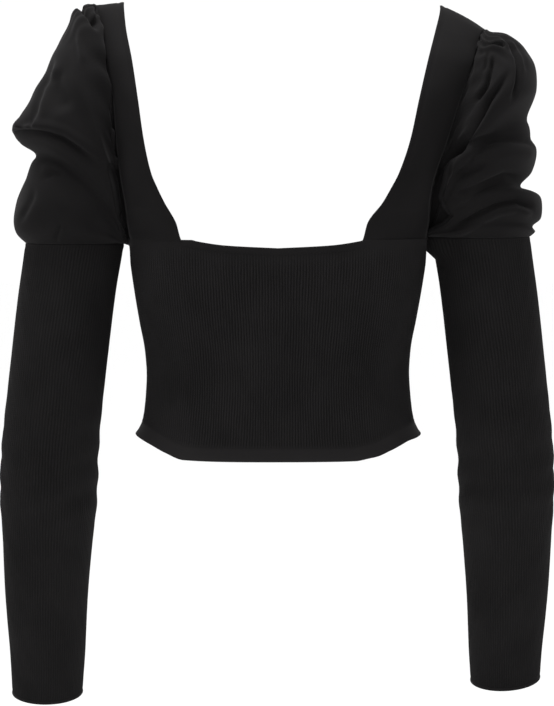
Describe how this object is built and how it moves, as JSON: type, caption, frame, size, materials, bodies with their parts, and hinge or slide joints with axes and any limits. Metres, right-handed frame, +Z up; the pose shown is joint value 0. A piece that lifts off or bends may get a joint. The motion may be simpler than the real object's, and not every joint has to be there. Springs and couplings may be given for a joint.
{
  "type": "cardigan",
  "caption": "Cropped fitted ribbed cardigan, filled out as worn: plain shoulder straps, gathered puff sleeves, ribbed lower sleeves, front button bands.",
  "frame": {"origin": "midway between the tops of the two shoulder straps, where the wearer's shoulders carry the garment", "axes": "+Z up, -Y out of the garment's front, +X towards the garment's own left sleeve"},
  "size_m": [0.4886, 0.2042, 0.6218],
  "materials": {
    "rib_knit": "matt black rib knit",
    "plain_knit": "matt black plain knit",
    "button_plastic": "black, low gloss"
  },
  "bodies": {
    "root": {"back_body": "rib_knit", "front_left": "rib_knit", "front_right": "rib_knit", "sleeve_left": "rib_knit", "sleeve_right": "rib_knit", "band_left": "rib_knit", "band_right": "rib_knit", "back_strap_left": "plain_knit", "back_strap_right": "plain_knit", "front_strap_left": "plain_knit", "front_strap_right": "plain_knit", "puff_left": "plain_knit", "puff_right": "plain_knit", "button_1": "button_plastic", "button_2": "button_plastic", "button_3": "button_plastic", "button_4": "button_plastic", "button_5": "button_plastic", "button_6": "button_plastic"}
  },
  "joints": []
}
